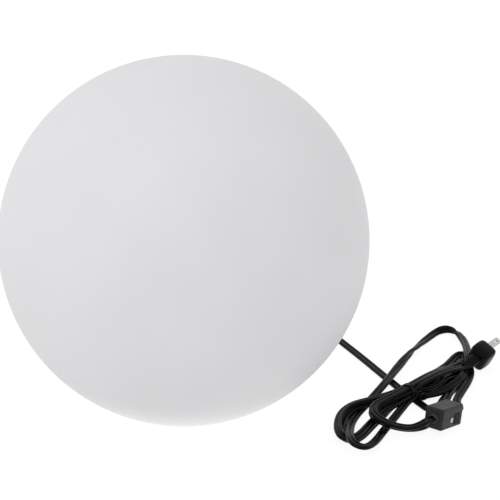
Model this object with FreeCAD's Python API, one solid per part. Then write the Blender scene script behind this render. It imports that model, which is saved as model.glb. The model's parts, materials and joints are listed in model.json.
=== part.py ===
"""Round globe light on a mains cord: one STEP file per separate piece.

The globe stands on a screwed-in base cap. Millimetres, +Z up. The origin is the
centre of the rubber foot, on the surface that the light stands on.
"""
import FreeCAD, Part
import math
import os

Vec = FreeCAD.Vector
UP = Vec(0, 0, 1)

# ---- driving dimensions -------------------------------------------------
BALL_R = 150.0            # 300 mm globe
BALL_WALL = 3.0
BALL_Z = 148.0            # height of the globe's centre
OPENING_R = 50.0          # hole in the bottom of the globe

CAP_R = 49.6              # base cap, flush with the globe
CAP_FLAT_Z = 3.0          # underside of the cap's flat
CAP_FLOOR_Z = 6.0         # inner floor of the cap
CAP_RIM_Z = 9.0
BOSS_R = 46.2             # upstanding neck of the cap
BOSS_BORE_R = 43.0
BOSS_TOP_Z = 27.0

FOOT_OUT_R = 33.0
FOOT_IN_R = 25.0
FOOT_SOCKET = 1.0         # depth of the foot's groove

COLLAR_BORE_R = 46.6
COLLAR_TOP_Z = 28.0
COLLAR_FLANGE_R = 57.0

POST_RADIUS = 37.0        # screw posts that carry the chassis
POST_R = 4.0
POST_TOP_Z = 24.0
POST_ANGLES = (28.3, 118.3, 208.3, 298.3)
PLATE_T = 2.5

SOCKET_R = 19.0           # E26 lamp holder
SOCKET_Z = POST_TOP_Z + PLATE_T
SOCKET_TOP_Z = 66.0
SOCKET_BORE_R = 14.3
CONTACT_Z = 36.0

BULB_CAP_R = 12.9
BULB_SHOULDER_Z = 64.0
BULB_RIM_Z = 116.0
BULB_R = 30.0

CORD_R = 2.7              # round tube with the area of the 7.4 x 3.8 flat cord
CORD_ANGLE = 73.3         # direction of the cord's exit, seen from above
GLAND_TILT = 14.0         # the gland points down by this much
GLAND_REACH = 18.5        # the gland's wall, from the middle of the base
GLAND_Z = 10.9
WIRE_Z = 14.2             # height of the cores at the terminal block
RELIEF_START = 10.0
RELIEF_END = 30.0

SWITCH_CENTRE = Vec(209.3, -51.0, 12.2)
SWITCH_YAW = 50.9
SWITCH_PITCH = 10.9
SWITCH_L = 33.0
SWITCH_W = 17.0
SWITCH_H = 18.0
SWITCH_WALL = 1.6
SWITCH_RIBS = (4.4, 6.4, 8.4, 10.4)   # grip ridges on the front, along the switch
SWITCH_RIB_H = 9.0
WHEEL_R = 8.4
WHEEL_DROP = 2.4          # the wheel's centre, below the middle of the switch
WHEEL_T = 5.0
GROMMET_L = 2.5

PLUG_CENTRE = Vec(259.5, 66.1, 12.9)
PLUG_AXIS = Vec(0.66, 0.748, 0.07)
PLUG_SIDE = Vec(0.311, -0.357, 0.881)
PLUG_L = 16.0
PLUG_W = 18.0
PLUG_T = 20.0
PLUG_RELIEF_L = 20.0
BLADE_PITCH = 12.7
BLADE_L = 17.0
BLADE_T = 1.5
BLADE_W = (6.35, 7.94)    # the wider blade is the neutral one

# Routes of the free cord, in order from the globe.
LEAD_ROUTE = [
    (13.7, 45.6, 3.6), (17.4, 57.9, 2.8), (23.0, 81.0, 2.8), (36.0, 118.0, 2.8),
    (62.0, 150.0, 2.8), (99.0, 168.0, 2.8), (131.0, 152.0, 2.8), (145.0, 118.0, 2.8),
    (158.5, 85.0, 2.8), (171.0, 52.0, 2.8), (185.0, 17.0, 2.8),
]
TAIL_ROUTE = [
    (182.0, -4.0, 17.4), (173.0, -14.0, 17.2), (162.0, -24.0, 16.4), (152.5, -34.0, 15.6),
    (151.5, -47.0, 14.8), (158.0, -60.0, 14.6), (168.0, -69.5, 14.8), (180.0, -75.0, 16.0),
    (191.9, -72.4, 17.4), (197.5, -65.5, 15.7),
]
LOOP_ROUTE = [
    (221.0, -36.5, 8.6), (227.0, -28.5, 6.9), (230.8, -14.0, 4.2), (232.0, 0.0, 2.9),
    (236.5, 15.0, 2.9), (243.0, 32.0, 2.9), (247.0, 50.0, 2.9), (249.5, 71.0, 2.9),
    (252.5, 92.0, 2.9), (255.0, 113.0, 2.9), (254.0, 130.0, 2.9), (249.0, 143.0, 3.4),
    (241.0, 148.0, 3.8), (232.0, 144.0, 3.6), (221.0, 130.5, 2.9), (210.0, 113.0, 2.9),
    (200.0, 93.0, 3.4), (189.0, 70.0, 6.2), (178.0, 45.0, 8.8), (168.0, 21.5, 8.6),
    (157.5, 2.0, 6.6), (153.0, -5.0, 5.6),
]

# Outer shape of the tied hank: a low left lobe and a higher right one.
LEFT_LOBE = [
    (167, -48), (155, -77), (139, -92), (123, -84), (117, -62), (119, -38), (127, -19),
    (142, -9), (158, -4), (179, 8), (189, 1), (189, -8), (179, -23),
]
RIGHT_LOBE = [
    (179, -2), (184, 13), (206, 37), (224, 62), (236, 76), (243, 73), (240, 58),
    (243, 46), (237, 33), (228, 10), (216, -12), (205, -22), (196, -14), (188, -7),
]
HANK_Z = 1.3
LEFT_LOBE_TOP = 11.5
RIGHT_LOBE_TOP = 15.0
TIE_CENTRE = Vec(185.5, 0.5, 0.0)
TIE_ANGLE = 46.0


# ---- helpers ---------------------------------------------------------------
def cyl(radius, low, high, x=0.0, y=0.0):
    """Upright cylinder between two heights."""
    return Part.makeCylinder(radius, high - low, Vec(x, y, low), UP)


def ring(outer, inner, low, high, x=0.0, y=0.0):
    """Upright tube between two heights."""
    return cyl(outer, low, high, x, y).cut(cyl(inner, low - 1, high + 1, x, y))


def block(size_x, size_y, low, high, x=0.0, y=0.0):
    """Box centred on (x, y), between two heights."""
    corner = Vec(x - size_x / 2, y - size_y / 2, low)
    return Part.makeBox(size_x, size_y, high - low, corner)


def hexagon(across, low, high):
    """Upright hexagonal prism, measured across its flats."""
    radius = across / math.sqrt(3)
    corners = [Vec(radius * math.cos(math.radians(60 * i)),
                   radius * math.sin(math.radians(60 * i)), low) for i in range(7)]
    return Part.Face(Part.makePolygon(corners)).extrude(Vec(0, 0, high - low))


def revolve(points):
    """Solid of revolution about Z from an (r, z) outline of straight lines."""
    corners = [Vec(r, 0, z) for r, z in points]
    face = Part.Face(Part.makePolygon(corners + corners[:1]))
    return face.revolve(Vec(0, 0, 0), UP, 360)


def fuse(first, *others):
    """One solid from touching or overlapping ones."""
    return first.multiFuse(list(others)).removeSplitter()


def polar(radius, degrees):
    """Point on a circle about the origin."""
    angle = math.radians(degrees)
    return radius * math.cos(angle), radius * math.sin(angle)


def placed(shape, placement):
    """Copy of a shape moved to a placement."""
    moved = shape.copy()
    moved.Placement = placement.multiply(shape.Placement)
    return moved


def axes_placement(origin, x_axis, z_hint):
    """Placement with a local X axis and a local Z axis close to z_hint."""
    x_dir = Vec(x_axis).normalize()
    y_dir = Vec(z_hint).cross(x_dir).normalize()
    z_dir = x_dir.cross(y_dir)
    matrix = FreeCAD.Matrix(x_dir.x, y_dir.x, z_dir.x, origin.x,
                            x_dir.y, y_dir.y, z_dir.y, origin.y,
                            x_dir.z, y_dir.z, z_dir.z, origin.z,
                            0, 0, 0, 1)
    return FreeCAD.Placement(matrix)


def cord_path(route):
    """Straight runs joined by tangent arcs as large as the runs allow."""
    points = [Vec(*p) for p in route]
    edges = []
    radii = []
    start = points[0]
    for before, corner, after in zip(points, points[1:], points[2:]):
        way_in = (corner - before).normalize()
        way_out = (after - corner).normalize()
        turn = way_in.getAngle(way_out)
        trim = 0.45 * min((corner - before).Length, (after - corner).Length)
        radius = trim / math.tan(turn / 2)
        radii.append(radius)
        arc_start = corner - way_in * trim
        arc_end = corner + way_out * trim
        to_centre = (way_out - way_in).normalize()
        centre = corner + to_centre * (radius / math.cos(turn / 2))
        middle = centre - to_centre * radius
        edges.append(Part.LineSegment(start, arc_start).toShape())
        edges.append(Part.Arc(arc_start, middle, arc_end).toShape())
        start = arc_end
    edges.append(Part.LineSegment(start, points[-1]).toShape())
    return Part.Wire(edges), radii


def tube(route, radius):
    """Round solid along a route, with its radii."""
    path, radii = cord_path(route)
    start = Vec(*route[0])
    heading = (Vec(*route[1]) - start).normalize()
    circle = Part.Wire(Part.makeCircle(radius, start, heading))
    return path.makePipeShell([circle], True, False, 1), path.Length, radii


def cord_tube(name, route):
    """Plain tube for a free stretch of the cord; prints how tight it is."""
    solid, length, radii = tube(route, CORD_R)
    expected = math.pi * CORD_R ** 2 * length
    print(name, "length", round(length, 1), "tightest", round(min(radii), 1),
          "volume ratio", round(solid.Volume / expected, 4))
    return solid


# ---- globe -------------------------------------------------------------------
def globe_shell():
    """Blow-moulded ball with a round opening at the bottom."""
    centre = Vec(0, 0, BALL_Z)
    outer = Part.makeSphere(BALL_R, centre)
    inner = Part.makeSphere(BALL_R - BALL_WALL, centre)
    return outer.cut(inner).cut(cyl(OPENING_R, -5, 40))


def neck_collar():
    """Sleeve in the opening, with a flange on the inside of the ball."""
    inside = Part.makeSphere(BALL_R - BALL_WALL, Vec(0, 0, BALL_Z))
    flange = cyl(COLLAR_FLANGE_R, CAP_RIM_Z + 0.3, 16).common(inside)
    sleeve = cyl(OPENING_R, CAP_RIM_Z + 0.3, COLLAR_TOP_Z)
    return fuse(sleeve, flange).cut(cyl(COLLAR_BORE_R, 0, 40))


# ---- base --------------------------------------------------------------------
def gland_placement():
    """Local +X leaves the base along the cord, and local +Z is nearly up."""
    x, y = polar(GLAND_REACH, CORD_ANGLE)
    level = math.radians(GLAND_TILT)
    ahead_x, ahead_y = polar(math.cos(level), CORD_ANGLE)
    return axes_placement(Vec(x, y, GLAND_Z), Vec(ahead_x, ahead_y, -math.sin(level)), UP)


def along_gland(shape):
    """Turn a piece made along +Z so that it lies along the gland's axis."""
    quarter = FreeCAD.Placement(Vec(0, 0, 0), FreeCAD.Rotation(Vec(0, 1, 0), 90))
    return placed(placed(shape, quarter), gland_placement())


def base_cap():
    """Screw-in cap: spherical outside, threaded neck, cord channel and posts."""
    ball = Part.makeSphere(BALL_R, Vec(0, 0, BALL_Z))
    dish = cyl(CAP_R, CAP_FLAT_Z, CAP_RIM_Z).common(ball)
    boss = cyl(BOSS_R, CAP_FLOOR_Z, BOSS_TOP_Z)
    cup = fuse(dish, boss).cut(cyl(BOSS_BORE_R, CAP_FLOOR_Z, 40))
    frame = gland_placement()
    tunnel = placed(Part.makeBox(34, 19, 24, Vec(-2.5, -9.5, -15)), frame)
    tunnel = tunnel.common(cyl(BOSS_BORE_R + 0.5, CAP_FLAT_Z, 25))
    channel = placed(Part.makeBox(50, 14, 30, Vec(0, -7, -23.2)), frame)
    posts = []
    pilots = []
    for angle in POST_ANGLES:
        x, y = polar(POST_RADIUS, angle)
        posts.append(cyl(POST_R, CAP_FLOOR_Z - 1, POST_TOP_Z, x, y))
        pilots.append(cyl(1.5, POST_TOP_Z - 12, POST_TOP_Z + 1, x, y))
    for x, y in clamp_posts():
        posts.append(cyl(2.6, CAP_FLOOR_Z - 1, 13, x, y))
        pilots.append(cyl(1.0, 9, 14, x, y))
    cup = fuse(cup, tunnel, *posts).cut(channel)
    hole = along_gland(cyl(4.6, -4, 1))
    foot_groove = ring(FOOT_OUT_R, FOOT_IN_R, 0, CAP_FLAT_Z + FOOT_SOCKET)
    seal_groove = ring(BOSS_R + 1, BOSS_R - 2.8, 19, 22.2)
    for cutter in [hole, foot_groove, seal_groove] + pilots:
        cup = cup.cut(cutter)
    return cup


def foot_ring():
    """Rubber ring, broken where the cord passes."""
    body = ring(FOOT_OUT_R, FOOT_IN_R, 0, CAP_FLAT_Z + FOOT_SOCKET)
    gap = placed(Part.makeBox(50, 14.6, 30, Vec(0, -7.3, -23.5)), gland_placement())
    return body.cut(gap)


def ballast_plate():
    """Steel C-shaped weight round the screw posts."""
    plate = ring(BOSS_BORE_R - 0.3, 30, CAP_FLOOR_Z, 13)
    gap = placed(Part.makeBox(60, 20, 60, Vec(-8, -10, -30)), gland_placement())
    plate = plate.cut(gap)
    for angle in POST_ANGLES:
        x, y = polar(POST_RADIUS, angle)
        plate = plate.cut(cyl(POST_R + 0.2, 0, 30, x, y))
    return plate


def neck_seal():
    """O-ring in the groove of the cap's neck."""
    return Part.makeTorus(BOSS_R - 1.3, 1.5, Vec(0, 0, 20.6), UP)


def chassis_plate():
    """Steel disc that carries the lamp holder."""
    plate = ring(BOSS_BORE_R - 0.5, 10, POST_TOP_Z, SOCKET_Z)
    for angle in POST_ANGLES:
        plate = plate.cut(cyl(2.0, 0, 40, *polar(POST_RADIUS, angle)))
    for angle in (CORD_ANGLE + 90, CORD_ANGLE - 90):
        plate = plate.cut(cyl(1.9, 0, 40, *polar(22.0, angle)))
    return plate


def pan_screw(shaft_r, head_r, x, y, tip_z, seat_z):
    """Pan-head screw with a cross slot, pointing down."""
    head = cyl(head_r, seat_z, seat_z + 2, x, y)
    slot = block(head_r * 1.3, 0.6, seat_z + 1.2, seat_z + 3, x, y)
    cross = block(0.6, head_r * 1.3, seat_z + 1.2, seat_z + 3, x, y)
    return fuse(head, cyl(shaft_r, tip_z, seat_z, x, y)).cut(slot).cut(cross)


def chassis_screws():
    """Four screws from the plate into the posts."""
    seats = [polar(POST_RADIUS, a) for a in POST_ANGLES]
    return Part.makeCompound([pan_screw(1.5, 3.2, x, y, 15, SOCKET_Z) for x, y in seats])


# ---- gland and cord inside the base ----------------------------------------------
def gland_body():
    """Hollow screw through the channel's end wall."""
    shank = cyl(4.5, -8, 0)
    body = fuse(shank, hexagon(11, 0, 2.5), cyl(5.0, 2.5, 7))
    return along_gland(body.cut(cyl(2.72, -20, 20)))


def gland_locknut():
    """Thin nut inside the base."""
    return along_gland(hexagon(10.2, -5.5, -2.5).cut(cyl(4.55, -9, 0)))


def gland_nut():
    """Cap nut that squeezes the seal on the cord."""
    nut = hexagon(11, 2.6, RELIEF_START)
    nut = nut.cut(cyl(5.02, 0, 9)).cut(cyl(2.75, 0, 20))
    return along_gland(nut)


def gland_seal():
    """Rubber bush between the gland's body and its nut."""
    return along_gland(ring(4.9, 2.72, 7.05, 8.95))


def strain_relief():
    """Tapered sleeve where the cord leaves the base."""
    cone = Part.makeCone(4.6, 3.2, RELIEF_END - RELIEF_START, Vec(0, 0, RELIEF_START), UP)
    return along_gland(cone.cut(cyl(CORD_R + 0.02, 0, 50)))


def cord_inner():
    """End of the cord, held inside the gland."""
    return along_gland(cyl(CORD_R, -14, RELIEF_END))


def clamp_posts():
    """Places of the two small posts beside the cord, inside the base."""
    ahead = polar(7.0, CORD_ANGLE)
    side = polar(6.2, CORD_ANGLE + 90)
    return [(ahead[0] + side[0], ahead[1] + side[1]),
            (ahead[0] - side[0], ahead[1] - side[1])]


def in_base(shape):
    """Turn a piece made along +X so that it points along the cord's exit."""
    return placed(shape, FreeCAD.Placement(Vec(0, 0, 0), FreeCAD.Rotation(UP, CORD_ANGLE)))


def cord_clamp():
    """Saddle bar that holds the cord down."""
    bar = block(5, 17, 17.2, 19.2, 7.0, 0)
    for side in (-1, 1):
        bar = fuse(bar, cyl(2.4, 13, 17.2, 7.0, side * 6.2))
    for side in (-1, 1):
        bar = bar.cut(cyl(1.05, 5, 30, 7.0, side * 6.2))
    return in_base(bar)


def clamp_screws():
    """Two screws of the cord clamp."""
    screws = [pan_screw(0.98, 2.0, 7.0, side * 6.2, 10, 19.2) for side in (-1, 1)]
    return in_base(Part.makeCompound(screws))


def terminal_block():
    """Two-way block on the base's floor."""
    body = block(12, 18, CAP_FLOOR_Z, 19.5, -9, 0)
    for side in (-1, 1):
        body = body.cut(cyl(1.8, 14.6, 25, -9, side * 4))
        bore = Part.makeCylinder(1.1, 20, Vec(-20, side * 4, WIRE_Z), Vec(1, 0, 0))
        body = body.cut(bore)
    return in_base(body)


def terminal_screws():
    """Brass clamping screws of the terminal block."""
    return in_base(Part.makeCompound([cyl(1.7, 15.4, 19.0, -9, s * 4) for s in (-1, 1)]))


def supply_wires():
    """Two cores, from the cord's end to the terminal block."""
    wires = []
    for side in (-1, 1):
        route = [(4.8, side * 1.2, WIRE_Z), (2.0, side * 1.8, WIRE_Z),
                 (-0.5, side * 3.9, WIRE_Z), (-4.0, side * 4.0, WIRE_Z)]
        wires.append(tube(route, 0.9)[0])
    return in_base(Part.makeCompound(wires))


def lamp_wires():
    """Two cores, from the terminal block up into the lamp holder."""
    wires = []
    for side in (-1, 1):
        route = [(-13.5, side * 4, WIRE_Z), (-20, side * 4, WIRE_Z + 0.1),
                 (-20, side * 4, 20.5), (-12, side * 3.6, 21.5), (-5, side * 3, 22.5),
                 (-5, side * 3, 34)]
        wires.append(tube(route, 0.9)[0])
    return in_base(Part.makeCompound(wires))


# ---- lamp holder -------------------------------------------------------------------
def lamp_socket():
    """Insulating body of the lamp holder."""
    body = fuse(cyl(SOCKET_R, SOCKET_Z, SOCKET_TOP_Z), cyl(25.5, SOCKET_Z, 30))
    body = body.cut(cyl(SOCKET_BORE_R, CONTACT_Z, 80)).cut(cyl(9, 20, 31))
    for side in (-1, 1):
        body = body.cut(cyl(1.1, 25, 40, -5, side * 3))
        body = body.cut(cyl(1.9, 20, 35, 0, side * 22))
    for low in (44, 50, 56):
        body = body.cut(ring(SOCKET_R + 1, SOCKET_R - 0.6, low, low + 2))
    return in_base(body)


def socket_screws():
    """Two screws from the lamp holder into the chassis."""
    screws = [pan_screw(1.8, 2.8, 0, side * 22, 21.5, 30) for side in (-1, 1)]
    return in_base(Part.makeCompound(screws))


def socket_shell():
    """Screw shell of the lamp holder, plain inside."""
    return ring(SOCKET_BORE_R, 13.4, CONTACT_Z + 2, SOCKET_TOP_Z - 2)


def socket_contact():
    """Springy centre contact."""
    strip = block(16, 4, CONTACT_Z, CONTACT_Z + 0.6)
    return in_base(fuse(strip, cyl(2, CONTACT_Z, CONTACT_Z + 2.2)))


# ---- bulb --------------------------------------------------------------------------
def bulb_cap():
    """Screw cap of the bulb with rounded turns, running clear in the holder."""
    turns = 6
    low = 42.0
    pitch = (BULB_SHOULDER_Z - 1 - low) / turns
    cap = ring(BULB_CAP_R - 0.7, 11.4, low - 1, BULB_SHOULDER_Z)
    for turn in range(turns):
        middle = low + pitch * (turn + 0.5)
        thread = Part.makeTorus(BULB_CAP_R - 0.9, 0.9, Vec(0, 0, middle), UP)
        cap = fuse(cap, thread.cut(cyl(11.4, 30, 80)))
    return cap


def bulb_insulator():
    """Black glass plug of the bulb's cap."""
    return revolve([(2.6, 39.2), (4.5, 39.2), (10.5, 41.0), (10.5, 43.0), (2.6, 43.0)])


def bulb_tip():
    """Tip contact of the bulb."""
    return revolve([(0, 38.4), (2.0, 38.4), (2.6, 39.2), (2.6, 42.0), (0, 42.0)])


def bulb_housing():
    """Finned plastic heat sink of the bulb."""
    outer = [(13.4, 64.0), (13.9, 66.4), (15.8, 69.0), (17.0, 74.0), (22.0, 92.0), (27.5, 108.0),
             (BULB_R - 0.5, BULB_RIM_Z)]
    inner = [(BULB_R - 2.5, BULB_RIM_Z), (25.6, 108.0), (20.2, 92.0), (15.2, 74.0),
             (12.8, 68.5), (11.0, 67.0), (11.0, 64.0)]
    return revolve(outer + inner)


def bulb_diffuser():
    """Opal dome of the bulb."""
    centre = Vec(0, 0, BULB_RIM_Z + 6)
    dome = Part.makeSphere(BULB_R, centre).cut(Part.makeSphere(BULB_R - 1.5, centre))
    return dome.cut(cyl(50, 60, BULB_RIM_Z))


def bulb_board():
    """Aluminium board of the light-emitting diodes."""
    return cyl(24.5, 109.5, 111.0)


def bulb_diodes():
    """Ring of light-emitting diodes."""
    diodes = [block(3.5, 3.5, 111.0, 112.0, *polar(16, 36 * i)) for i in range(10)]
    return Part.makeCompound(diodes)


def bulb_driver():
    """Upright circuit board inside the bulb."""
    board = block(18, 1.6, 69, 105)
    parts = [block(8, 6, 76, 86, 0, 3.8), block(6, 5, 90, 98, -3, 3.3)]
    return fuse(board, *parts)


# ---- switch on the cord ----------------------------------------------------------
def switch_placement():
    """Local +X runs along the switch and +Y is square to its wide faces."""
    turn = FreeCAD.Rotation(SWITCH_YAW, SWITCH_PITCH, 0)
    return FreeCAD.Placement(SWITCH_CENTRE, turn)


def in_switch(shape):
    """Place a piece made in the switch's own axes."""
    return placed(shape, switch_placement())


def across_switch(radius, low, high, x=0.0, z=0.0):
    """Cylinder along the switch's Y axis."""
    return Part.makeCylinder(radius, high - low, Vec(x, low, z), Vec(0, 1, 0))


def switch_half(side):
    """One hollow half: side -1 faces the front, side 1 the back."""
    half_w = SWITCH_W / 2
    outer = Part.makeBox(SWITCH_L, half_w, SWITCH_H,
                         Vec(-SWITCH_L / 2, 0 if side > 0 else -half_w, -SWITCH_H / 2))
    wide = [e for e in outer.Edges if abs(e.CenterOfMass.y - side * half_w) < 0.01]
    upright = [e for e in outer.Edges if abs(e.CenterOfMass.y - side * half_w / 2) < 0.01]
    outer = outer.makeFillet(1.6, upright + wide)
    room_w = half_w - SWITCH_WALL
    room = Part.makeBox(SWITCH_L - 2 * SWITCH_WALL, room_w, SWITCH_H - 2 * SWITCH_WALL,
                        Vec(-SWITCH_L / 2 + SWITCH_WALL, 0 if side > 0 else -room_w,
                            -SWITCH_H / 2 + SWITCH_WALL))
    body = outer.cut(room)
    near, far = sorted((side * (WHEEL_T / 2 + 0.4), side * (room_w + 0.5)))
    body = fuse(body, across_switch(3.0, near, far, 0, -WHEEL_DROP))
    slot = Part.makeBox(15.4, WHEEL_T + 0.7, 6, Vec(-7.7, -WHEEL_T / 2 - 0.35, -11))
    cord_hole = Part.makeCylinder(CORD_R + 0.5, 60, Vec(-30, 0, 0), Vec(1, 0, 0))
    pivot = across_switch(1.25, -20, 20, 0, -WHEEL_DROP)
    sink_low, sink_high = sorted((side * (half_w - 1.2), side * (half_w + 5)))
    recess = across_switch(2.5, sink_low, sink_high, 0, -WHEEL_DROP)
    for cutter in (slot, cord_hole, pivot, recess):
        body = body.cut(cutter)
    if side < 0:
        for x in SWITCH_RIBS:
            body = fuse(body, Part.makeBox(0.9, 1.1, SWITCH_RIB_H, Vec(x, -half_w - 0.6, -6.5)))
    return in_switch(body)


def switch_screw():
    """Screw that joins the halves and carries the wheel."""
    half_w = SWITCH_W / 2
    screw = fuse(across_switch(1.2, -half_w + 1.2, half_w - 1.2, 0, -WHEEL_DROP),
                 across_switch(2.1, -half_w + 0.2, -half_w + 1.2, 0, -WHEEL_DROP))
    slot = Part.makeBox(3.2, 1.0, 0.7, Vec(-1.6, -half_w - 0.3, -WHEEL_DROP - 0.35))
    return in_switch(screw.cut(slot))


def switch_nut():
    """Nut in the back half."""
    half_w = SWITCH_W / 2
    nut = across_switch(2.1, half_w - 1.2, half_w - 0.2, 0, -WHEEL_DROP)
    return in_switch(nut)


def switch_wheel():
    """Ribbed wheel that turns the light on and off."""
    wheel = across_switch(WHEEL_R, -WHEEL_T / 2, WHEEL_T / 2, 0, -WHEEL_DROP)
    wheel = wheel.cut(across_switch(1.25, -9, 9, 0, -WHEEL_DROP))
    for tooth in range(30):
        x, z = polar(WHEEL_R + 0.15, 12 * tooth)
        wheel = wheel.cut(across_switch(0.55, -9, 9, x, z - WHEEL_DROP))
    return in_switch(wheel)


def switch_contacts():
    """Two brass contact strips beside the wheel."""
    strips = [Part.makeBox(8, 0.6, 4, Vec(x, 4.4, 1.5)) for x in (-12.5, 4.5)]
    return in_switch(Part.makeCompound(strips))


def switch_grommet(end):
    """Bush where the cord enters; end is -1 near the globe's lead, 1 beyond."""
    inner = SWITCH_L / 2
    bush = Part.makeCone(4.2, 3.4, GROMMET_L, Vec(end * inner, 0, 0), Vec(end, 0, 0))
    shaft = Part.makeCylinder(CORD_R + 0.4, 1.6, Vec(end * inner, 0, 0), Vec(-end, 0, 0))
    hole = Part.makeCylinder(CORD_R + 0.02, 40, Vec(-end * 2 + end * 10, 0, 0), Vec(end, 0, 0))
    return in_switch(fuse(bush, shaft).cut(hole))


def switch_cord_end(end):
    """Stub of cord inside a grommet."""
    stub = Part.makeCylinder(CORD_R, GROMMET_L + 3.6,
                             Vec(end * (SWITCH_L / 2 - 3.6), 0, 0), Vec(end, 0, 0))
    return in_switch(stub)


# ---- plug -----------------------------------------------------------------------
def in_plug(shape):
    """Place a piece made in the plug's own axes: +X along the blades."""
    return placed(shape, axes_placement(PLUG_CENTRE, PLUG_AXIS, PLUG_SIDE))


def blade(width, side):
    """One flat blade with its hole and a rounded tip."""
    low = BLADE_PITCH / 2 * side - BLADE_T / 2
    start = PLUG_L / 2 - 8
    bar = Part.makeBox(8 + BLADE_L, width, BLADE_T, Vec(start, -width / 2, low))
    tip_edges = [e for e in bar.Edges
                 if abs(e.CenterOfMass.x - (start + 8 + BLADE_L)) < 0.01
                 and abs(abs(e.CenterOfMass.y) - width / 2) < 0.01]
    bar = bar.makeFillet(1.8, tip_edges)
    hole = Part.makeCylinder(1.6, 6, Vec(PLUG_L / 2 + BLADE_L - 5, 0, low - 2), UP)
    return bar.cut(hole)


def plug_blades():
    """Pair of blades, as two solids."""
    return in_plug(Part.makeCompound([blade(BLADE_W[0], 1), blade(BLADE_W[1], -1)]))


def plug_bridge():
    """Hard insert that holds the blades inside the moulding."""
    core = Part.makeBox(5, 12, 16, Vec(PLUG_L / 2 - 7, -6, -8))
    for width, side in zip(BLADE_W, (1, -1)):
        core = core.cut(blade(width, side))
    return in_plug(core)


def plug_body():
    """Moulded body with well rounded edges."""
    body = Part.makeBox(PLUG_L, PLUG_W, PLUG_T, Vec(-PLUG_L / 2, -PLUG_W / 2, -PLUG_T / 2))
    upright = [e for e in body.Edges if abs(e.CenterOfMass.z) < 0.01]
    body = body.makeFillet(4.0, upright)
    rims = [e for e in body.Edges if abs(abs(e.CenterOfMass.z) - PLUG_T / 2) < 0.01]
    body = body.makeFillet(1.5, rims)
    body = body.cut(Part.makeBox(5, 12, 16, Vec(PLUG_L / 2 - 7, -6, -8)))
    for width, side in zip(BLADE_W, (1, -1)):
        body = body.cut(blade(width, side))
    return in_plug(body)


def plug_relief():
    """Tapered sleeve behind the plug."""
    cone = Part.makeCone(4.8, 3.3, PLUG_RELIEF_L, Vec(-PLUG_L / 2, 0, 0), Vec(-1, 0, 0))
    return in_plug(cone)


# ---- hank --------------------------------------------------------------------------
def lobe(points, top):
    """Slab with a smooth closed outline."""
    curve = Part.BSplineCurve()
    curve.interpolate([Vec(x, y, HANK_Z) for x, y in points], PeriodicFlag=True)
    return Part.Face(Part.Wire(curve.toShape())).extrude(Vec(0, 0, top - HANK_Z))


def cord_hank():
    """Outer shape of the tied part of the cord."""
    hank = fuse(lobe(LEFT_LOBE, LEFT_LOBE_TOP), lobe(RIGHT_LOBE, RIGHT_LOBE_TOP))
    hank = hank.cut(cord_solids["cord_lead"]).cut(cord_solids["cord_loop"])
    return hank.cut(plug_relief())


def cord_tie():
    """Wire tie round the middle of the hank."""
    band = Part.makeBox(3, 30, RIGHT_LOBE_TOP + 1.0, Vec(-1.5, -15, 0.2))
    place = FreeCAD.Placement(TIE_CENTRE, FreeCAD.Rotation(UP, TIE_ANGLE))
    band = placed(band, place).cut(hank_solid)
    return band.cut(cord_solids["cord_lead"]).cut(cord_solids["cord_tail"])


# ---- write ---------------------------------------------------------------------------
cord_solids = {
    "cord_lead": cord_tube("cord_lead", LEAD_ROUTE),
    "cord_tail": cord_tube("cord_tail", TAIL_ROUTE),
    "cord_loop": cord_tube("cord_loop", LOOP_ROUTE),
}
hank_solid = cord_hank()

nodes = {
    "globe_shell": globe_shell(),
    "neck_collar": neck_collar(),
    "base_cap": base_cap(),
    "foot_ring": foot_ring(),
    "ballast_plate": ballast_plate(),
    "neck_seal": neck_seal(),
    "chassis_plate": chassis_plate(),
    "chassis_screws": chassis_screws(),
    "gland_body": gland_body(),
    "gland_locknut": gland_locknut(),
    "gland_nut": gland_nut(),
    "gland_seal": gland_seal(),
    "strain_relief": strain_relief(),
    "cord_inner": cord_inner(),
    "cord_clamp": cord_clamp(),
    "clamp_screws": clamp_screws(),
    "terminal_block": terminal_block(),
    "terminal_screws": terminal_screws(),
    "supply_wires": supply_wires(),
    "lamp_wires": lamp_wires(),
    "lamp_socket": lamp_socket(),
    "socket_screws": socket_screws(),
    "socket_shell": socket_shell(),
    "socket_contact": socket_contact(),
    "bulb_cap": bulb_cap(),
    "bulb_insulator": bulb_insulator(),
    "bulb_tip": bulb_tip(),
    "bulb_housing": bulb_housing(),
    "bulb_diffuser": bulb_diffuser(),
    "bulb_board": bulb_board(),
    "bulb_diodes": bulb_diodes(),
    "bulb_driver": bulb_driver(),
    "switch_front": switch_half(-1),
    "switch_back": switch_half(1),
    "switch_screw": switch_screw(),
    "switch_nut": switch_nut(),
    "switch_wheel": switch_wheel(),
    "switch_contacts": switch_contacts(),
    "switch_grommet_in": switch_grommet(-1),
    "switch_grommet_out": switch_grommet(1),
    "switch_cord_in": switch_cord_end(-1),
    "switch_cord_out": switch_cord_end(1),
    "plug_body": plug_body(),
    "plug_bridge": plug_bridge(),
    "plug_blades": plug_blades(),
    "plug_relief": plug_relief(),
    "cord_hank": hank_solid,
    "cord_tie": cord_tie(),
    **cord_solids,
}

os.makedirs("parts", exist_ok=True)
for name, shape in nodes.items():
    if not shape.isValid() or shape.Volume <= 0:
        raise SystemExit("bad shape: " + name)
    shape.exportStep("parts/" + name + ".step")
    box = shape.BoundBox
    print(name, "solids", len(shape.Solids), "volume", round(shape.Volume),
          "z", round(box.ZMin, 2), round(box.ZMax, 2))
print("nodes", len(nodes))
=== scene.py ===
"""Looks of the round globe light: opal ball, base, bulb, flat twin cord, switch and plug.

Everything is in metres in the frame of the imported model. The helper mm() turns
millimetres into metres, so the cord's routes read like the design's own.
"""
import json
import math

import bmesh
import bpy
from mathutils import Matrix, Vector


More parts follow.
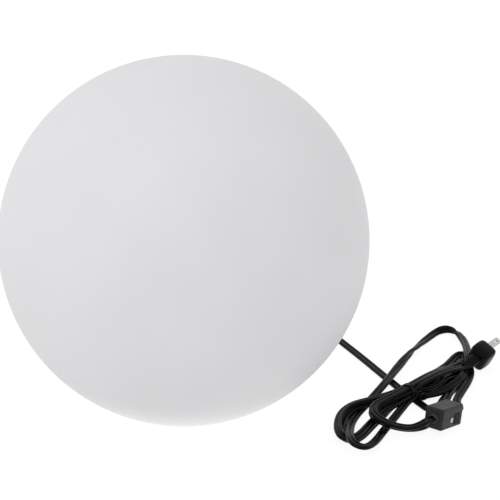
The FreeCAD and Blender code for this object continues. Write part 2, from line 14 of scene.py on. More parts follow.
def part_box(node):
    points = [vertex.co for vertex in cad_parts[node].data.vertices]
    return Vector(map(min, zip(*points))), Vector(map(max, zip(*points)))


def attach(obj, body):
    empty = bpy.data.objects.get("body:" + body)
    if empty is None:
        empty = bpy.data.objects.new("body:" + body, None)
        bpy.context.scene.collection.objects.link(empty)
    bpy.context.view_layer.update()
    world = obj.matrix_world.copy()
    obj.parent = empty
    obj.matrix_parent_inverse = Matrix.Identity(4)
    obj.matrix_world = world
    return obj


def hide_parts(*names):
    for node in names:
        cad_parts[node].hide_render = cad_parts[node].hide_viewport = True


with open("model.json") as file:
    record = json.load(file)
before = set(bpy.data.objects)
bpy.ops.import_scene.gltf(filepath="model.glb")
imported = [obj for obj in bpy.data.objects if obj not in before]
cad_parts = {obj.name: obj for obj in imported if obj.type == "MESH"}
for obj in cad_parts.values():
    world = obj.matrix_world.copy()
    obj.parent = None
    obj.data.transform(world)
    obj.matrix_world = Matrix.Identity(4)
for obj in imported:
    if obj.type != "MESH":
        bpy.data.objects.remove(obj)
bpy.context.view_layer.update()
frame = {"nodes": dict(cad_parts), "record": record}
nodes = frame["nodes"]

FLOOR_Z = 0.0
BALL_R = 0.150
BALL_WALL = 0.003
CORD_WIDTH = 0.0074
CORD_THICK = 0.0038
CORD_WEB = 0.0015       # thickness between the two cores

# Painted light: the ball's colour pales towards the floor, standing in for light bounced up from
# the floor; from one height to another, by a power.
BOUNCE_PAINT_TOP = 0.062
BOUNCE_PAINT_FOOT = 0.006
BOUNCE_PAINT_POWER = 2.1

# Part of a noise's range that carries most of its values, for numbers and for colours.
NOISE_LOW = 0.3
NOISE_HIGH = 0.7
RAMP_LOW = 0.32
RAMP_HIGH = 0.68

# Sockets of a colour mix node, which have the same names for every data type.
MIX_FACTOR = 0
MIX_FIRST = 6
MIX_SECOND = 7
MIX_RESULT = 2

# Light that a plastic lets in: how deep it goes in metres, and a factor on it.
GLOW_DEPTH = 0.01
GLOW_SCALE = 0.6

# Fineness of a metal's patches and of its drawn lines, and the lines' depth in metres.
METAL_BLOTCH = 90.0
METAL_LINES = 220.0
METAL_RELIEF = 0.00002


def mm(*values):
    """A point given in millimetres."""
    return Vector(values) / 1000.0


# ---- materials ------------------------------------------------------------
class Nodes:
    """Small wrapper that adds and links shader nodes."""

    def __init__(self, name):
        self.material = bpy.data.materials.new(name)
        self.material.use_nodes = True
        self.tree = self.material.node_tree
        self.shader = self.tree.nodes["Principled BSDF"]
        self.place = self.add("ShaderNodeTexCoord").outputs["Object"]

    def add(self, kind, **inputs):
        node = self.tree.nodes.new(kind)
        for key, value in inputs.items():
            node.inputs[key].default_value = value
        return node

    def link(self, source, target):
        self.tree.links.new(source, target)

    def noise(self, scale, detail=3.0, stretch=None):
        """Noise value in object space, stretched if asked."""
        node = self.add("ShaderNodeTexNoise", Scale=scale, Detail=detail)
        if stretch:
            mapping = self.add("ShaderNodeMapping")
            mapping.inputs["Scale"].default_value = stretch
            self.link(self.place, mapping.inputs["Vector"])
            self.link(mapping.outputs["Vector"], node.inputs["Vector"])
        else:
            self.link(self.place, node.inputs["Vector"])
        return node.outputs["Fac"]

    def spread(self, value, low, high):
        """Map the common values of a noise to a range of numbers."""
        node = self.add("ShaderNodeMapRange")
        node.inputs["From Min"].default_value = NOISE_LOW
        node.inputs["From Max"].default_value = NOISE_HIGH
        node.inputs["To Min"].default_value = low
        node.inputs["To Max"].default_value = high
        self.link(value, node.inputs["Value"])
        return node.outputs["Result"]

    def colours(self, value, first, second):
        """Blend two colours by a noise."""
        ramp = self.add("ShaderNodeValToRGB")
        ramp.color_ramp.elements[0].position = RAMP_LOW
        ramp.color_ramp.elements[0].color = (*first, 1)
        ramp.color_ramp.elements[1].position = RAMP_HIGH
        ramp.color_ramp.elements[1].color = (*second, 1)
        self.link(value, ramp.inputs["Fac"])
        self.link(ramp.outputs["Color"], self.shader.inputs["Base Color"])
        return ramp

    def paint_floor_bounce(self, ramp, foot):
        """Painted light: let the colours of a ramp fade to another one near the floor, standing
        in for light bounced up from the floor.
        """
        parts = self.add("ShaderNodeSeparateXYZ")
        self.link(self.place, parts.inputs["Vector"])
        fall = self.add("ShaderNodeMapRange")
        fall.inputs["From Min"].default_value = BOUNCE_PAINT_TOP
        fall.inputs["From Max"].default_value = BOUNCE_PAINT_FOOT
        self.link(parts.outputs["Z"], fall.inputs["Value"])
        power = self.add("ShaderNodeMath")
        power.operation = "POWER"
        power.inputs[1].default_value = BOUNCE_PAINT_POWER
        self.link(fall.outputs["Result"], power.inputs[0])
        mix = self.add("ShaderNodeMix")
        mix.data_type = "RGBA"
        mix.inputs[MIX_SECOND].default_value = (*foot, 1)
        self.link(power.outputs["Value"], mix.inputs[MIX_FACTOR])
        self.link(ramp.outputs["Color"], mix.inputs[MIX_FIRST])
        self.link(mix.outputs[MIX_RESULT], self.shader.inputs["Base Color"])

    def bump(self, value, height, strength=1.0):
        """Relief of a given height in metres."""
        node = self.add("ShaderNodeBump", Strength=strength, Distance=height)
        self.link(value, node.inputs["Height"])
        self.link(node.outputs["Normal"], self.shader.inputs["Normal"])


def plastic(name, first, second, rough, grain, height, blotch=40.0, shine=0.5, thin=0.0,
            foot=None):
    """Moulded plastic or rubber: faint mottling, fine grain and uneven gloss.

    first and second are the mottling's colours and blotch its fineness, rough is the range
    of roughness, grain and height are the grain's fineness and depth in metres. thin is the
    share of light that goes in. foot is painted bounce light: the colour that the lowest part
    fades to, standing in for light thrown up from the floor.
    """
    kit = Nodes(name)
    kit.shader.inputs["Specular IOR Level"].default_value = shine
    ramp = kit.colours(kit.noise(blotch, 4.0), first, second)
    # Painted light: the lowest part pales, standing in for light bounced up from the floor.
    if foot:
        kit.paint_floor_bounce(ramp, foot)
    kit.link(kit.spread(kit.noise(blotch * 3, 2.0), rough[0], rough[1]),
             kit.shader.inputs["Roughness"])
    kit.bump(kit.noise(grain, 2.0), height)
    if thin:
        kit.shader.inputs["Subsurface Weight"].default_value = thin
        kit.shader.inputs["Subsurface Radius"].default_value = (GLOW_DEPTH,) * 3
        kit.shader.inputs["Subsurface Scale"].default_value = GLOW_SCALE
    return kit.material


def metal(name, first, second, rough, brush):
    """Metal with fine drawn lines and patchy gloss; brush stretches the lines per axis."""
    kit = Nodes(name)
    kit.colours(kit.noise(METAL_BLOTCH, 4.0), first, second)
    lines = kit.noise(METAL_LINES, 2.0, brush)
    kit.link(kit.spread(lines, rough[0], rough[1]), kit.shader.inputs["Roughness"])
    kit.bump(lines, METAL_RELIEF, 0.5)
    kit.shader.inputs["Metallic"].default_value = 1.0
    return kit.material


# The opal ball's near-white foot colour is painted bounce light from the floor, not a colour of
# the plastic.
OPAL = plastic("opal_polyethylene", (0.605, 0.605, 0.618), (0.625, 0.625, 0.638),
               rough=(0.52, 0.60), grain=900.0, height=0.00003, blotch=14.0, thin=0.1,
               foot=(0.98, 0.98, 0.98))
BASE_WHITE = plastic("base_plastic", (0.70, 0.70, 0.71), (0.76, 0.76, 0.77),
                     rough=(0.40, 0.55), grain=1200.0, height=0.00004)
VINYL = plastic("black_vinyl", (0.0022, 0.0022, 0.0025), (0.0045, 0.0045, 0.0052),
                rough=(0.16, 0.30), grain=1500.0, height=0.00003, blotch=60.0, shine=0.07)
BLACK = plastic("black_moulding", (0.006, 0.006, 0.0068), (0.012, 0.012, 0.0135),
                rough=(0.40, 0.56), grain=2200.0, height=0.00008, blotch=80.0, shine=0.3)
RUBBER = plastic("black_rubber", (0.018, 0.018, 0.018), (0.030, 0.030, 0.030),
                 rough=(0.62, 0.78), grain=1800.0, height=0.00008)
GREY_RUBBER = plastic("grey_rubber", (0.30, 0.30, 0.31), (0.38, 0.38, 0.39),
                      rough=(0.6, 0.75), grain=1600.0, height=0.00008)
PHENOLIC = plastic("phenolic", (0.012, 0.010, 0.009), (0.024, 0.020, 0.018),
                   rough=(0.20, 0.34), grain=700.0, height=0.00003)
WIRE = plastic("core_insulation", (0.18, 0.18, 0.19), (0.24, 0.24, 0.25),
               rough=(0.35, 0.45), grain=900.0, height=0.00002)
DOME = plastic("bulb_opal", (0.80, 0.80, 0.78), (0.84, 0.84, 0.82),
               rough=(0.28, 0.36), grain=500.0, height=0.00002, blotch=30.0, thin=0.2)
BOARD = plastic("circuit_board", (0.01, 0.09, 0.04), (0.02, 0.13, 0.06),
                rough=(0.25, 0.4), grain=1500.0, height=0.00005)
BOARD_WHITE = plastic("white_board", (0.74, 0.74, 0.72), (0.80, 0.80, 0.78),
                      rough=(0.3, 0.4), grain=900.0, height=0.00002)
PHOSPHOR = plastic("phosphor", (0.75, 0.55, 0.08), (0.85, 0.66, 0.14),
                   rough=(0.25, 0.35), grain=900.0, height=0.00002)
STEEL = metal("zinc_steel", (0.34, 0.36, 0.38), (0.46, 0.48, 0.50),
              rough=(0.28, 0.45), brush=(1, 1, 9))
NICKEL = metal("nickel", (0.50, 0.48, 0.46), (0.60, 0.58, 0.56),
               rough=(0.18, 0.32), brush=(1, 8, 1))
BRASS = metal("brass", (0.60, 0.42, 0.16), (0.74, 0.55, 0.25),
              rough=(0.25, 0.4), brush=(1, 1, 8))

SLOT_MATERIALS = {
    "ball_plastic": OPAL,
    "base_plastic": BASE_WHITE,
    "black_plastic": BLACK,
    "cord_vinyl": VINYL,
    "black_rubber": RUBBER,
    "grey_rubber": GREY_RUBBER,
    "steel": STEEL,
    "nickel": NICKEL,
    "brass": BRASS,
    "phenolic": PHENOLIC,
    "opal_dome": DOME,
    "circuit_board": BOARD,
    "board_white": BOARD_WHITE,
    "diode": PHOSPHOR,
    "core": WIRE,
}


def paint_cad_nodes():
    """Give every CAD node the material of its slot in the record."""
    for part in frame["record"]["subparts"]:
        obj = nodes[part["node"]]
        obj.data.materials.clear()
        obj.data.materials.append(SLOT_MATERIALS[part["material_slot"]])


# ---- mesh helpers -------------------------------------------------------------
ON_AXIS = 1e-6          # a lathe's points closer to its axis than this are one point


def piece(name, mesh, material, body, replaced):
    """Finish a mesh as a piece that rides on a body and replaces CAD nodes."""
    obj = bpy.data.objects.new(name, mesh)
    bpy.context.scene.collection.objects.link(obj)
    mesh.materials.append(material)
    for face in mesh.polygons:
        face.use_smooth = True
    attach(obj, body)
    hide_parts(*replaced)
    return obj


def sharpen(mesh, degrees):
    """Mark edges sharper than an angle, so that smooth shading keeps them."""
    grid = bmesh.new()
    grid.from_mesh(mesh)
    limit = math.radians(degrees)
    for edge in grid.edges:
        if len(edge.link_faces) == 2 and edge.calc_face_angle(0.0) > limit:
            edge.smooth = False
    grid.to_mesh(mesh)
    grid.free()


def lathe(name, outline, segments):
    """Closed surface of revolution about local Z from a closed (r, z) outline."""
    verts = []
    rings = []
    for r, z in outline:
        if r < ON_AXIS:
            rings.append([len(verts)] * segments)
            verts.append((0, 0, z))
            continue
        ring = []
        for i in range(segments):
            angle = 2 * math.pi * i / segments
            ring.append(len(verts))
            verts.append((r * math.cos(angle), r * math.sin(angle), z))
        rings.append(ring)
    faces = []
    count = len(rings)
    for k in range(count):
        low, high = rings[k], rings[(k + 1) % count]
        for i in range(segments):
            j = (i + 1) % segments
            corners = []
            for index in (low[i], low[j], high[j], high[i]):
                if index not in corners:
                    corners.append(index)
            if len(corners) > 2:
                faces.append(corners)
    mesh = bpy.data.meshes.new(name)
    mesh.from_pydata(verts, [], faces)
    mesh.validate()
    return mesh


def sweep(name, line, profiles, frames):
    """Closed skin over a line: one profile, a list of (across, up), and frame per point."""
    verts = []
    for point, profile, (across, up) in zip(line, profiles, frames):
        for a, u in profile:
            verts.append(point + across * a + up * u)
    count = len(profiles[0])
    faces = []
    for k in range(len(line) - 1):
        for i in range(count):
            j = (i + 1) % count
            low, high = k * count, (k + 1) * count
            faces.append((low + i, low + j, high + j, high + i))
    faces.append(tuple(reversed(range(count))))
    last = (len(line) - 1) * count
    faces.append(tuple(range(last, last + count)))
    mesh = bpy.data.meshes.new(name)
    mesh.from_pydata([tuple(v) for v in verts], [], faces)
    return mesh


CORD_ORDER = 3          # smoothness of the cord's curve
CORD_STEPS = 10         # points per control point along the cord
CORE_POINTS = 9         # points round each core of the flat cord
WEB_MARGIN = 6          # degrees between the web's edge and a core's first point
FULL_TURN = 360.0


def cord_line(name, route):
    """Points along the smooth curve that a route of control points gives."""
    curve = bpy.data.curves.new(name + "_route", "CURVE")
    curve.dimensions = "3D"
    spline = curve.splines.new("NURBS")
    spline.points.add(len(route) - 1)
    for point, control in zip(spline.points, route):
        point.co = (*mm(*control[:3]), 1.0)
    spline.order_u = CORD_ORDER
    spline.use_endpoint_u = True
    curve.resolution_u = CORD_STEPS
    holder = bpy.data.objects.new(name + "_route", curve)
    mesh = bpy.data.meshes.new_from_object(holder)
    line = [v.co.copy() for v in mesh.vertices]
    bpy.data.objects.remove(holder)
    bpy.data.curves.remove(curve)
    bpy.data.meshes.remove(mesh)
    return line


def flat_profile():
    """Two round cores side by side, joined by a thinner web."""
    radius = CORD_THICK / 2
    centre = CORD_WIDTH / 2 - radius
    open_angle = 180 - (math.degrees(math.asin(CORD_WEB / 2 / radius)) + WEB_MARGIN)
    points = []
    for side in (1, -1):
        middle = 0 if side > 0 else 180
        for i in range(CORE_POINTS):
            angle = math.radians(middle - open_angle + 2 * open_angle * i / (CORE_POINTS - 1))
            points.append((side * centre + radius * math.cos(angle),
                           radius * math.sin(angle)))
        points.append((0.0, side * CORD_WEB / 2))
    return points


def ease(share):
    """Smooth step from 0 to 1."""
    share = max(0.0, min(1.0, share))
    return share * share * (3 - 2 * share)


def rolls_along(route, count):
    """Twist of the cord at each point of its line, from the routes' fourth values.

    A control point without one keeps the last full turn, so the cord lies flat there.
    """
    controls = []
    for control in route:
        rest = round(controls[-1] / FULL_TURN) * FULL_TURN if controls else 0.0
        controls.append(control[3] if len(control) > 3 else rest)
    rolls = []
    for k in range(count):
        at = k / (count - 1) * (len(controls) - 1)
        low = min(int(at), len(controls) - 2)
        share = ease(at - low)
        rolls.append(math.radians(controls[low] * (1 - share) + controls[low + 1] * share))
    return rolls


def cord_frames(line, rolls):
    """Across and up directions: flat on the floor where the twist is nil."""
    frames = []
    for k, point in enumerate(line):
        before = line[max(k - 1, 0)]
        after = line[min(k + 1, len(line) - 1)]
        ahead = (after - before).normalized()
        across = ahead.cross(Vector((0, 0, 1))).normalized()
        up = across.cross(ahead).normalized()
        turn = Matrix.Rotation(rolls[k], 3, ahead)
        frames.append((turn @ across, turn @ up))
    return frames


# ---- routes of the cord, millimetres, with the cord's twist in degrees ----------
LEAD = [
    (8.5, 28.3, 8.2), (13.7, 45.6, 3.6), (17.4, 57.9, 2.1), (23.0, 81.0, 2.0),
    (36.0, 118.0, 2.0), (62.0, 150.0, 2.0), (99.0, 168.0, 2.0), (131.0, 152.0, 2.0),
    (145.0, 118.0, 2.0), (158.5, 85.0, 2.0), (171.0, 52.0, 2.0), (185.0, 17.0, 2.0),
    (191.0, 4.0, 2.0), (196.5, -8.0, 2.0), (201.0, -20.0, 2.6), (207.0, -27.0, 4.5),
    (213.0, -24.0, 5.2), (216.0, -12.0, 4.6), (222.0, 4.0, 4.2),
]
TAIL = [
    (174.0, -15.0, 14.4), (163.0, -25.0, 14.0), (153.5, -34.5, 13.6),
    (152.0, -48.0, 13.0), (159.0, -62.0, 12.6), (168.5, -72.0, 13.0),
    (179.0, -78.0, 14.2), (187.5, -76.0, 16.2), (192.8, -71.4, 17.1), (196.3, -67.1, 16.2),
    (199.1, -63.6, 15.3), (203.0, -58.8, 14.1),
]
LOOP = [
    (216.7, -41.8, 9.8), (221.0, -36.5, 8.6), (227.0, -28.0, 6.8), (225.5, -11.0, 4.8),
    (232.6, 6.0, 5.0), (241.8, 26.0, 5.6), (247.0, 43.0, 5.6), (247.8, 55.0, 6.2),
    (248.2, 62.0, 8.2), (249.2, 75.0, 9.0), (251.8, 94.5, 7.4), (252.6, 113.8, 5.2),
    (251.6, 130.0, 4.2, 20), (248.4, 141.5, 4.2, 70),
    (241.0, 148.0, 3.9, 120), (232.0, 144.0, 3.0, 165), (222.0, 130.5, 2.4, 180),
    (211.5, 113.0, 3.2, 215), (201.0, 93.0, 4.4, 275), (190.0, 70.0, 5.2, 330),
    (179.0, 45.0, 6.0, 360), (168.5, 21.5, 6.2, 360), (158.0, 3.0, 4.6, 360),
    (149.5, -11.0, 2.6, 360), (142.0, -24.0, 2.1), (135.5, -41.0, 2.8),
    (131.5, -62.0, 6.5), (129.5, -82.0, 9.6), (132.0, -96.0, 9.8), (140.5, -98.0, 7.4),
    (149.5, -83.0, 4.4), (158.0, -62.0, 2.4), (167.0, -43.0, 2.2), (178.0, -22.0, 3.6),
]

# ---- the hank: turns that leave the wire tie, go round one end and come back ------
TIE = (185.5, 0.5)
RIGHT_WAY = (0.69, 0.72)      # from the tie towards the plug
LEFT_WAY = (-0.59, -0.81)     # from the tie towards the far end of the left lobe

# Shape of a turn: distance from the tie and distance to the far side, as shares of
# the turn's length and width, and a lift in millimetres where it has to clear another.
LEFT_SHAPE = [
    (0.11, 0.14), (0.22, 0.36), (0.33, 0.61), (0.43, 0.86), (0.54, 0.96), (0.67, 0.93),
    (0.81, 0.75), (0.94, 0.50), (1.04, 0.16), (1.02, -0.14), (0.90, -0.17), (0.72, -0.09),
    (0.55, -0.04), (0.38, 0.0), (0.20, 0.0),
]
RIGHT_SHAPE = [
    (0.12, 0.10, 0.4), (0.25, 0.26, 3.0), (0.42, 0.46, 2.2), (0.60, 0.68), (0.80, 0.92),
    (0.94, 1.22), (1.05, 1.46), (1.13, 1.50), (1.145, 1.12), (1.07, 0.66), (0.94, 0.46),
    (0.79, 0.42), (0.62, 0.32), (0.40, 0.18), (0.20, 0.04),
]
NEAR_SHAPE = [
    (0.15, 0.45), (0.32, 0.86), (0.50, 1.00), (0.68, 0.96), (0.86, 0.84), (1.01, 0.55),
    (1.03, 0.18), (0.90, -0.06), (0.64, 0.02), (0.44, 0.06), (0.26, 0.03), (0.12, 0.0),
]


def hank_point(way, along, side, z):
    """Point at a distance from the tie and a distance to the far side."""
    across = (-abs(way[1]), abs(way[0]))
    return (TIE[0] + way[0] * along + across[0] * side,
            TIE[1] + way[1] * along + across[1] * side, z)


# Shares of a turn: where the values of the way back start to count, and over how much
# they take over; how far from the tie its sideways place counts; where the far end's
# height is reached.
BACK_FROM = 0.4
BACK_OVER = 0.4
SIDE_UNTIL = 0.5
FALL_UNTIL = 0.85


def hank_turn(way, shape, length, width, leave, come_back, heights, twist=0.0,
              fall=1.0):
    """One turn; leave and come_back are (side, height) at the tie.

    heights are the heights at the far end, going out and coming back, and twist is
    how far the flat cord leans over, in degrees, half way round. With a fall above 1
    the turn keeps the tie's height for longer.
    """
    points = []
    last = len(shape) - 1
    for k, (along, out, *lift) in enumerate(shape):
        back = ease((k / last - BACK_FROM) / BACK_OVER)
        at_side = leave[0] * (1 - back) + come_back[0] * back
        at_height = leave[1] * (1 - back) + come_back[1] * back
        far = heights[0] * (1 - back) + heights[1] * back
        gone = ease(along / SIDE_UNTIL)
        side = out * width + at_side * (1 - gone)
        fallen = min(1.0, along / FALL_UNTIL) ** fall
        height = at_height * (1 - fallen) + far * fallen + sum(lift)
        lean = twist * math.sin(math.pi * k / last)
        points.append((*hank_point(way, along * length, side, height), lean))
    return points


def at_tie(slot):
    """Point in the middle of the tie."""
    return hank_point(RIGHT_WAY, 0.0, slot[0], slot[1])


# Where each pass lies inside the tie: distance to the far side and height.
LOW_NEAR = (-3.9, 4.6)
LOW_FAR = (3.9, 4.9)
MID_NEAR = (-3.9, 7.9)
MID_FAR = (3.9, 8.2)
TOP_NEAR = (-3.9, 11.2)
TOP_FAR = (3.2, 11.0)
CREST = (-1.6, 14.6)

# Stretches of the hank's right part: distance from the tie, to the far side, and height.
LEAD_COIL = [
    (42, -17.0, 4.6), (54, -15.5, 4.8), (65, -13.0, 5.2), (71, -8.0, 5.2), (68, -2.8, 5.0),
    (59, -3.2, 6.0), (48, -5.6, 8.6), (36, -9.2, 8.8), (20, -9.4, 8.8),
]
FLOOR_COIL = [
    (16, -5.0, 2.4), (32, -9.0, 2.0), (48, -8.0, 2.0), (61, -3.5, 2.0), (70, -3.0, 2.0),
    (73, -8.5, 2.0), (67, -14.0, 2.0), (52, -17.0, 2.0), (34, -20.0, 2.0), (16, -25.0, 2.0),
]
PLUG_STRAND = [
    (12, -5.0, 13.6), (28, -6.0, 14.6), (42, -7.0, 14.6), (54, -8.0, 13.6), (63, -8.9, 12.0),
]

# The lower strand of the bend in front of the tie, and the cord inside the plug's sleeve.
FRONT_BEND = [
    (204.0, -36.0, 2.0), (195.0, -51.0, 2.2), (184.0, -59.5, 4.0), (172.0, -61.0, 5.8),
    (161.0, -56.5, 7.8), (153.0, -48.0, 9.0), (152.5, -35.0, 9.8), (161.5, -25.0, 10.4),
    (173.0, -15.0, 10.8),
]
PLUG_END = [(241.0, 45.1, 10.9), (247.6, 52.6, 11.6), (254.2, 60.1, 12.3)]


def right_stretch(places):
    """Points of a stretch in the hank's right part."""
    return [hank_point(RIGHT_WAY, along, side, z) for along, side, z in places]


def lead_route():
    """Base to switch: the lead, two turns of the hank and the bend into the switch."""
    route = LEAD + right_stretch(LEAD_COIL)
    route.append(at_tie(TOP_FAR))
    route += hank_turn(LEFT_WAY, LEFT_SHAPE, length=93, width=29.5, leave=TOP_FAR,
                       come_back=MID_NEAR, heights=(5.6, 6.0), twist=25)
    route.append(at_tie(MID_NEAR))
    route += hank_turn(RIGHT_WAY, RIGHT_SHAPE, length=90, width=11, leave=MID_NEAR,
                       come_back=CREST, heights=(5.2, 5.8), twist=30, fall=2.0)
    route.append(at_tie(CREST))
    return route + TAIL


def plug_route():
    """Switch to plug: the big loop, the inner turns and the plug's own end."""
    route = list(LOOP)
    route.append(at_tie(LOW_NEAR))
    route += hank_turn(RIGHT_WAY, NEAR_SHAPE, length=69, width=-19.5, leave=LOW_NEAR,
                       come_back=MID_FAR, heights=(9.0, 6.6), twist=40)
    route.append(at_tie(MID_FAR))
    route += hank_turn(LEFT_WAY, LEFT_SHAPE, length=90, width=26.5, leave=MID_FAR,
                       come_back=LOW_FAR, heights=(2.2, 2.4), twist=-15)
    route.append(at_tie(LOW_FAR))
    route += right_stretch(FLOOR_COIL) + FRONT_BEND
    route.append(at_tie(TOP_NEAR))
    return route + right_stretch(PLUG_STRAND) + PLUG_END


def cord_piece(name, route, replaced):
    """Flat twin cord along a route, with the points that it follows."""
    line = cord_line(name, route)
    rolls = rolls_along(route, len(line))
    mesh = sweep(name, line, [flat_profile()] * len(line), cord_frames(line, rolls))
    obj = piece(name, mesh, VINYL, "base", replaced)
    return obj, line


# ---- globe ----------------------------------------------------------------------
OPENING_R = 0.0500
GLOBE_STEPS = 128
GLOBE_SEGMENTS = 192
LIP_ANGLE = 50          # edges of the ball sharper than this stay sharp


def globe():
    """Hollow opal ball, open at the foot."""
    _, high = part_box("globe_shell")
    centre_z = high.z - BALL_R
    inner = BALL_R - BALL_WALL
    start = math.asin(OPENING_R / BALL_R)
    inner_start = math.asin(OPENING_R / inner)
    outline = []
    for i in range(GLOBE_STEPS + 1):
        angle = start + (math.pi - start) * i / GLOBE_STEPS
        outline.append((max(0.0, BALL_R * math.sin(angle)), centre_z - BALL_R * math.cos(angle)))
    for i in range(GLOBE_STEPS + 1):
        angle = math.pi - (math.pi - inner_start) * i / GLOBE_STEPS
        outline.append((max(0.0, inner * math.sin(angle)), centre_z - inner * math.cos(angle)))
    mesh = lathe("globe", outline, GLOBE_SEGMENTS)
    sharpen(mesh, LIP_ANGLE)
    piece("globe", mesh, OPAL, "globe", ["globe_shell"])


# ---- wire tie: the turns in millimetres, their smallest step and section in metres ---
CORE_SIDE = 1.8         # from the middle of the cord to a core's middle
CORE_REACH = 2.1        # a core's radius and a little more
TIE_TURNS = 2
TIE_STEPS = 28
TIE_HALF = 1.6          # half of what the turns cover along the hank
TIE_LEAST_STEP = 0.0003
BAND_HALF_WIDTH = 0.0011
BAND_HALF_THICK = 0.0004
BAND_ANGLE = 40


def tie_reach(angle):
    """Point of the tied bundle's outline that lies furthest in one direction."""
    way = Vector((math.cos(angle), math.sin(angle)))
    reach = []
    for side, z in (LOW_NEAR, LOW_FAR, MID_NEAR, MID_FAR, TOP_NEAR, TOP_FAR, CREST):
        for core in (-CORE_SIDE, CORE_SIDE):
            reach.append(Vector((side + core, z)) + way * CORE_REACH)
    return max(reach, key=lambda point: point.dot(way))


def wire_tie():
    """Thin band wound round the middle of the hank."""
    line = []
    last = TIE_TURNS * TIE_STEPS
    for i in range(last + 1):
        side, z = tie_reach(2 * math.pi * i / TIE_STEPS)
        along = -TIE_HALF + 2 * TIE_HALF * i / last
        line.append(mm(*hank_point(RIGHT_WAY, along, side, z)))
    way = Vector((RIGHT_WAY[0], RIGHT_WAY[1], 0)).normalized()
    line = [point for k, point in enumerate(line)
            if k == 0 or (point - line[k - 1]).length > TIE_LEAST_STEP]
    frames = []
    for k in range(len(line)):
        ahead = (line[min(k + 1, len(line) - 1)] - line[max(k - 1, 0)]).normalized()
        up = way.cross(ahead).normalized()
        frames.append((ahead.cross(up).normalized(), up))
    profile = [(-BAND_HALF_WIDTH, -BAND_HALF_THICK), (BAND_HALF_WIDTH, -BAND_HALF_THICK),
               (BAND_HALF_WIDTH, BAND_HALF_THICK), (-BAND_HALF_WIDTH, BAND_HALF_THICK)]
    mesh = sweep("wire_tie", line, [profile] * len(line), frames)
    sharpen(mesh, BAND_ANGLE)
    piece("wire_tie", mesh, VINYL, "base", ["cord_tie"])


# ---- plug -------------------------------------------------------------------------
PLUG_CENTRE = (259.5, 66.1, 12.9)
PLUG_AXIS = (0.66, 0.748, 0.07)
PLUG_SIDE = (0.311, -0.357, 0.881)      # from the narrow blade's side to the wide one's

# Sections of the moulding: distance along the axis, half width, half height, millimetres.
PLUG_SECTIONS = [
    (-10.2, 4.4, 4.4), (-9.6, 5.6, 6.2), (-8.8, 7.2, 8.2), (-7.6, 8.4, 9.4), (-5.8, 9.1, 10.1),
    (-2.0, 9.4, 10.3), (3.0, 9.4, 10.3), (5.8, 9.2, 10.1), (7.2, 8.6, 9.6), (8.0, 7.6, 8.7),
]
PLUG_POWER = 5.0        # how square the plug is; 2 is an ellipse
OUTLINE_POINTS = 40

# Sleeve behind the plug, millimetres: its length, its half width at the plug, how much
# flatter than wide it is, and what it loses in half width and half height over its length.
RELIEF_LENGTH = 20.0
RELIEF_HALF_WIDTH = 4.6
RELIEF_FLATTER = 0.6
RELIEF_WIDTH_LOSS = 1.0
RELIEF_HEIGHT_LOSS = 0.9
RELIEF_RINGS = 6
RELIEF_POWER = 2.4
RELIEF_ANGLE = 45

# One ring of the sleeve: share of its length and how far it stands out.
RELIEF_RING = [(0.0, 0.0), (0.15, 0.5), (0.65, 0.5), (0.8, 0.0)]


def plug_axes():
    """Directions along the plug, across it and from blade to blade."""
    along = Vector(PLUG_AXIS).normalized()
    up = Vector(PLUG_SIDE)
    up = (up - along * up.dot(along)).normalized()
    return along, up.cross(along), up


def rounded(half_width, half_height, power):
    """Closed outline between an ellipse (power 2) and a rectangle."""
    outline = []
    for i in range(OUTLINE_POINTS):
        angle = 2 * math.pi * i / OUTLINE_POINTS
        a, b = math.cos(angle), math.sin(angle)
        outline.append((half_width * math.copysign(abs(a) ** (2 / power), a) / 1000,
                        half_height * math.copysign(abs(b) ** (2 / power), b) / 1000))
    return outline


def along_plug(name, sections, power):
    """Skin of rounded sections on the plug's axis."""
    along, across, up = plug_axes()
    centre = mm(*PLUG_CENTRE)
    line = [centre + along * place / 1000 for place, _, _ in sections]
    outlines = [rounded(width, height, power) for _, width, height in sections]
    return sweep(name, line, outlines, [(across, up)] * len(line))


def plug_shell():
    """Moulded plug with rounded shoulders."""
    mesh = along_plug("plug_shell", PLUG_SECTIONS, PLUG_POWER)
    piece("plug_shell", mesh, VINYL, "base", ["plug_body"])


def ribbed_relief():
    """Sleeve behind the plug, tapered, with rings moulded round it."""
    sections = []
    for i in range(RELIEF_RINGS):
        for part, swell in RELIEF_RING:
            gone = (i + part) / RELIEF_RINGS
            width = RELIEF_HALF_WIDTH - RELIEF_WIDTH_LOSS * gone + swell
            sections.append((-PLUG_SECTIONS[-1][0] - RELIEF_LENGTH * gone, width,
                             width - RELIEF_FLATTER - RELIEF_HEIGHT_LOSS * gone))
    mesh = along_plug("ribbed_relief", sections, RELIEF_POWER)
    sharpen(mesh, RELIEF_ANGLE)
    piece("ribbed_relief", mesh, VINYL, "base", ["plug_relief"])


# ---- stage ------------------------------------------------------------------------
WHITE = (1, 1, 1, 1)
FLOOR_HALF = 6.0
FLOOR_GREY = (0.12, 0.12, 0.12, 1)
FLOOR_GLOW = 0.91
KEY_SIZE = 0.6
KEY_POWER = 11.5
KEY_PLACE = (-1.3, -1.2, 1.9)
KEY_AIM = (0.05, 0, 0.12)
SENSOR_WIDTH = 36.0
LENS = 124.07
CAMERA_PLACE = (0.0, -1.31557, 0.62683)
CAMERA_AHEAD = (0.037924, 0.936977, -0.347326)


def point_along(obj, way):
    """Turn a camera or a light so that it looks along a direction."""
    obj.rotation_euler = way.to_track_quat("-Z", "Y").to_euler()


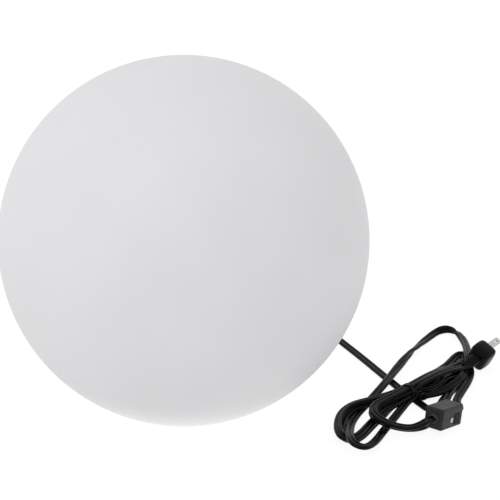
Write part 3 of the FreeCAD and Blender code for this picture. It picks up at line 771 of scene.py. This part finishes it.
def studio():
    """Pale floor that glows, even white surroundings and one broad soft light."""
    scene = bpy.context.scene
    mesh = bpy.data.meshes.new("floor")
    corners = [(-FLOOR_HALF, -FLOOR_HALF, FLOOR_Z), (FLOOR_HALF, -FLOOR_HALF, FLOOR_Z),
               (FLOOR_HALF, FLOOR_HALF, FLOOR_Z), (-FLOOR_HALF, FLOOR_HALF, FLOOR_Z)]
    mesh.from_pydata(corners, [], [(0, 1, 2, 3)])
    floor = bpy.data.objects.new("floor", mesh)
    scene.collection.objects.link(floor)
    kit = Nodes("floor_paper")
    kit.shader.inputs["Base Color"].default_value = FLOOR_GREY
    kit.shader.inputs["Roughness"].default_value = 1.0
    kit.shader.inputs["Specular IOR Level"].default_value = 0.0
    kit.shader.inputs["Emission Color"].default_value = WHITE
    kit.shader.inputs["Emission Strength"].default_value = FLOOR_GLOW
    mesh.materials.append(kit.material)
    world = bpy.data.worlds.new("studio")
    scene.world = world
    world.use_nodes = True
    background = world.node_tree.nodes["Background"]
    background.inputs["Color"].default_value = WHITE
    background.inputs["Strength"].default_value = 1.0
    light = bpy.data.lights.new("key", "AREA")
    light.shape = "DISK"
    light.size = KEY_SIZE
    light.energy = KEY_POWER
    key = bpy.data.objects.new("key", light)
    scene.collection.objects.link(key)
    key.location = KEY_PLACE
    point_along(key, Vector(KEY_AIM) - key.location)
    scene.view_settings.view_transform = "Standard"


def camera():
    """Camera a little above the globe, looking along +Y."""
    data = bpy.data.cameras.new("camera")
    data.sensor_width = SENSOR_WIDTH
    data.lens = LENS
    obj = bpy.data.objects.new("camera", data)
    bpy.context.scene.collection.objects.link(obj)
    obj.location = CAMERA_PLACE
    point_along(obj, Vector(CAMERA_AHEAD))
    bpy.context.scene.camera = obj


paint_cad_nodes()
camera()
studio()
globe()
wire_tie()
plug_shell()
ribbed_relief()
lead, lead_line = cord_piece("cord_to_switch", lead_route(),
                             ["cord_lead", "cord_tail", "cord_hank", "switch_cord_in",
                              "cord_inner"])
flex, flex_line = cord_piece("cord_to_plug", plug_route(), ["cord_loop", "switch_cord_out"])
